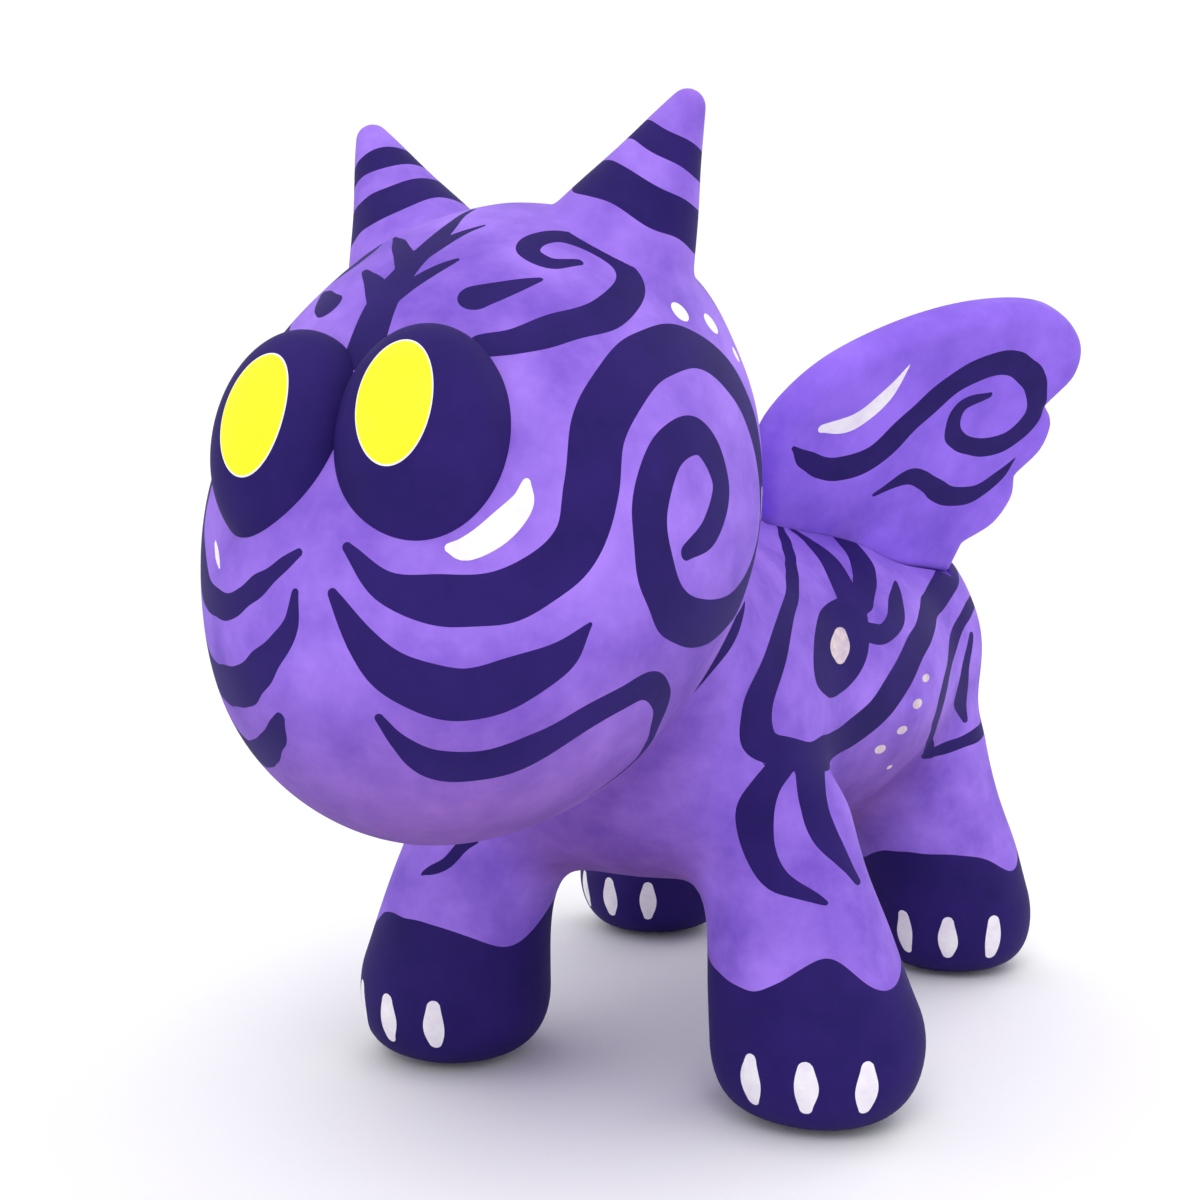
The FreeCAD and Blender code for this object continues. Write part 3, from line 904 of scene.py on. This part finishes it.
def grid_patch(corner, first, second, spacing=0.8):
    """A flat patch of small triangles between two edges."""
    counts = [max(int(np.linalg.norm(edge) / spacing), 1) for edge in (first, second)]
    s, t = np.meshgrid(np.linspace(0, 1, counts[0] + 1), np.linspace(0, 1, counts[1] + 1),
                       indexing="ij")
    points = corner + s.reshape(-1, 1) * first + t.reshape(-1, 1) * second
    index = np.arange(len(points)).reshape(s.shape)
    a, b = index[:-1, :-1].ravel(), index[1:, :-1].ravel()
    c, d = index[1:, 1:].ravel(), index[:-1, 1:].ravel()
    return points, np.concatenate([np.stack([a, b, c], 1), np.stack([a, c, d], 1)])


def make_slot(side):
    """The painted walls and floor of one wing slot, up to the skin, with its peg bores."""
    start, end = WING_ROOT[0] - SLOT_MARGIN, WING_ROOT[1] + SLOT_MARGIN
    half = WING_HALF_THICKNESS + SLOT_MARGIN
    low = -WING_ROOT_DEPTH
    length, rise, width = [end - start, 0, 0], [0, SLOT_WALL_HEIGHT - low, 0], [0, 0, 2 * half]
    patches = [
        ([start, low, -half], width, length),
        ([start, low, -half], length, rise),
        ([start, low, half], rise, length),
        ([start, low, -half], rise, width),
        ([end, low, -half], width, rise),
    ]
    points, triangles = np.zeros((0, 3)), np.zeros((0, 3), int)
    for corner, first, second in patches:
        more, faces = grid_patch(np.array(corner), np.array(first), np.array(second))
        triangles = np.concatenate([triangles, faces + len(points)])
        points = np.concatenate([points, more])
    points = wing_to_world(points)
    points, triangles, _ = split(points, triangles, body_field(points))
    for place in WING_PEGS:
        mouth = wing_to_world(np.array([[place, low, 0.0]]))[0]
        bore = bore_values(points, mouth, WING_UP, WING_BORE_RADIUS)
        points, _, triangles = split(points, triangles, bore)
        add_bore("torso_bore_%d" % place, mouth, WING_UP, WING_UP, WING_BORE_RADIUS, side)
    points, triangles = to_side(points, triangles, side)
    add_piece("torso_slot_" + side_name(side), points, triangles, LAVENDER, "figure")


def make_body():
    """The torso and legs as one painted skin."""
    margin = 3.0
    low = np.array([-foot_front_high[0], NECK_END[1] - NECK_END_RADIUS, 0]) - margin
    high = np.array([foot_front_high[0], max(foot_rear_high[1], torso_high[1]),
                     torso_high[2]]) + margin
    points, triangles = surface_mesh(body_field, low, high, BODY_SPACING)
    points, _, triangles = split(points, triangles, slot_values(points))
    swirls, dabs, toes = body_swirls(), body_dabs(), toe_marks()

    def dark_marks(places):
        """Strokes and socks."""
        socks = sock_values(places) + brush_wobble(places)
        return np.minimum(paint_values(places, swirls, FLANK_SQUEEZE), socks)

    piece = painted_skin("body_skin", points, triangles, "figure", [
        ("_toe_marks", lambda places: paint_values(places, toes), WHITE),
        ("_dabs", lambda places: paint_values(places, dabs, FLANK_SQUEEZE), CREAM),
        ("_swirls", dark_marks, INDIGO)], body_field)
    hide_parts("torso", "leg_front_left", "leg_front_right", "leg_rear_left",
                "leg_rear_right")
    for side in (1, -1):
        make_slot(side)


def make_eye(side):
    """One eye dome with its pupil and the pupil's pale rim."""
    mirror = np.array([side, 1, 1])
    sphere, triangles = ball_mesh(EYE_DIVISIONS)
    points, triangles = to_side(EYE_CENTRE + (sphere * EYE_HALF) @ EYE_AXES.T, triangles, side)
    across, up = PUPILS[side_name(side)]

    def pupil_values(places):
        """Near distance to the pupil's edge."""
        flat = (places * mirror - EYE_CENTRE) @ EYE_AXES
        reach = np.hypot((flat[:, 0] - across) / PUPIL_HALF[0], (flat[:, 1] - up) / PUPIL_HALF[1])
        return np.where(flat[:, 2] > 0, (reach - 1) * min(PUPIL_HALF), FAR)

    def rim_values(places):
        """Near distance to the outer edge of the rim."""
        return pupil_values(places) - RIM_WIDTH

    def dome_field(places):
        """Distance to the dome."""
        return ellipsoid(places * mirror, EYE_CENTRE, EYE_HALF, EYE_AXES)

    name = "eye_" + side_name(side)
    piece = painted_skin(name + "_dome", points, triangles, "figure", [
        ("_pupil", pupil_values, YELLOW), ("_rim", rim_values, WHITE)], dome_field, INDIGO)
    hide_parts(name)


def make_ear(side):
    """One ear with its two dark bands."""
    mirror = np.array([side, 1, 1])
    name = "ear_" + side_name(side)
    points, triangles = surface_mesh(ear_field, ear_low - 3, ear_high + 2, EAR_SPACING)
    points, triangles = refine(points, triangles, above_ear_seat(points), EDGE_BAND, ear_field)
    points, _, triangles = split(points, triangles, above_ear_seat(points))
    points, triangles = to_side(points, triangles, side)
    add_ear_seat("ear_foot", side, name + "_piece", faces_up=False)

    def bands(places):
        """Distance to the nearer band, in millimetres along the ear."""
        local = places * mirror - EAR_BASE
        ripple = 0.3 * np.sin(local[:, 0] * 0.6 + side) + 0.2 * np.sin(local[:, 1] * 0.7)
        height = local @ EAR_AXIS + ripple
        edges = [np.abs(height - middle) - half for middle, half in EAR_BANDS]
        return np.minimum(*edges) + brush_wobble(places)

    piece = painted_skin(name + "_skin", points, triangles, name + "_piece",
                         [("_bands", bands, INDIGO)],
                         lambda places: ear_field(places * mirror))
    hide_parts(name)


def make_wing(side):
    """One wing with the same strokes on both of its faces."""
    mirror = np.array([side, 1, 1])
    name = "wing_" + side_name(side)
    margin = 2.0
    low = np.array([*WING_OUTLINE.min(0), -WING_HALF_THICKNESS]) - margin
    high = np.array([*WING_OUTLINE.max(0), WING_HALF_THICKNESS]) + margin
    local, triangles = surface_mesh(wing_field, low, high, WING_SPACING)
    points, triangles = to_side(wing_to_world(local), triangles, side)

    def on_plane(places):
        """Places pressed onto the wing's middle plane."""
        return world_to_wing(places * mirror) * [1, 1, 0]

    swirls, dabs = wing_swirls(), wing_dabs()
    piece = painted_skin(name + "_skin", points, triangles, name + "_piece", [
        ("_dabs", lambda places: paint_values(on_plane(places), dabs), WHITE),
        ("_swirls", lambda places: paint_values(on_plane(places), swirls), INDIGO)],
        lambda places: wing_field(world_to_wing(places * mirror)), VIOLET)
    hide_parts(name)


def finish_pegs():
    """Bare wood on every CAD dowel, pin and peg."""
    for name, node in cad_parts.items():
        if any(word in name for word in ("dowel", "pin", "peg")):
            node.data.materials.clear()
            node.data.materials.append(BARE_WOOD)


# Stage --------------------------------------------------------------------

def make_floor():
    """A plain pale floor."""
    mesh = bpy.data.meshes.new("floor")
    reach = 20 * DESIGN_HEIGHT * MM
    mesh.from_pydata([(-reach, -reach, 0), (reach, -reach, 0), (reach, reach, 0),
                      (-reach, reach, 0)], [], [(0, 1, 2, 3)])
    material = bpy.data.materials.new("floor_paint")
    material.use_nodes = True
    shader = material.node_tree.nodes["Principled BSDF"]
    shader.inputs["Base Color"].default_value = (0.95, 0.95, 0.95, 1)
    shader.inputs["Roughness"].default_value = 0.8
    mesh.materials.append(material)
    floor = bpy.data.objects.new("floor", mesh)
    bpy.context.scene.collection.objects.link(floor)


def add_softbox(name, place, power):
    """A square soft light, placed in millimetres and turned to the figure."""
    light = bpy.data.lights.new(name, "AREA")
    light.shape = "SQUARE"
    light.size = LIGHT_SIZE * MM
    light.energy = power
    lamp = bpy.data.objects.new(name, light)
    lamp.location = Vector(place) * MM
    lamp.rotation_euler = (Vector(LIGHT_TARGET) - Vector(place)).to_track_quat("-Z", "Y").to_euler()
    bpy.context.scene.collection.objects.link(lamp)


def light_studio():
    """Soft light from all round, a little stronger from above."""
    world = bpy.data.worlds.new("studio")
    world.use_nodes = True
    world.node_tree.nodes["Background"].inputs["Color"].default_value = (1, 1, 1, 1)
    world.node_tree.nodes["Background"].inputs["Strength"].default_value = 1.05
    bpy.context.scene.world = world
    add_softbox("key", (150, -420, 520), 1.0)
    add_softbox("back", (180, 480, 420), 0.5)
    bpy.context.scene.view_settings.view_transform = "Standard"


def add_camera():
    """The camera, in front of the figure's left shoulder and level with its eyes."""
    camera = bpy.data.cameras.new("camera")
    camera.lens = CAMERA_LENS
    camera.sensor_width = CAMERA_SENSOR
    eye = bpy.data.objects.new("camera", camera)
    eye.location = Vector(CAMERA_PLACE) * MM
    eye.rotation_euler = (math.pi / 2 - CAMERA_DROP, 0, CAMERA_TURN)
    bpy.context.scene.collection.objects.link(eye)
    bpy.context.scene.camera = eye


make_head()
make_body()
for each_side in (1, -1):
    make_eye(each_side)
    make_ear(each_side)
    make_wing(each_side)
finish_pegs()
make_floor()
light_studio()
add_camera()
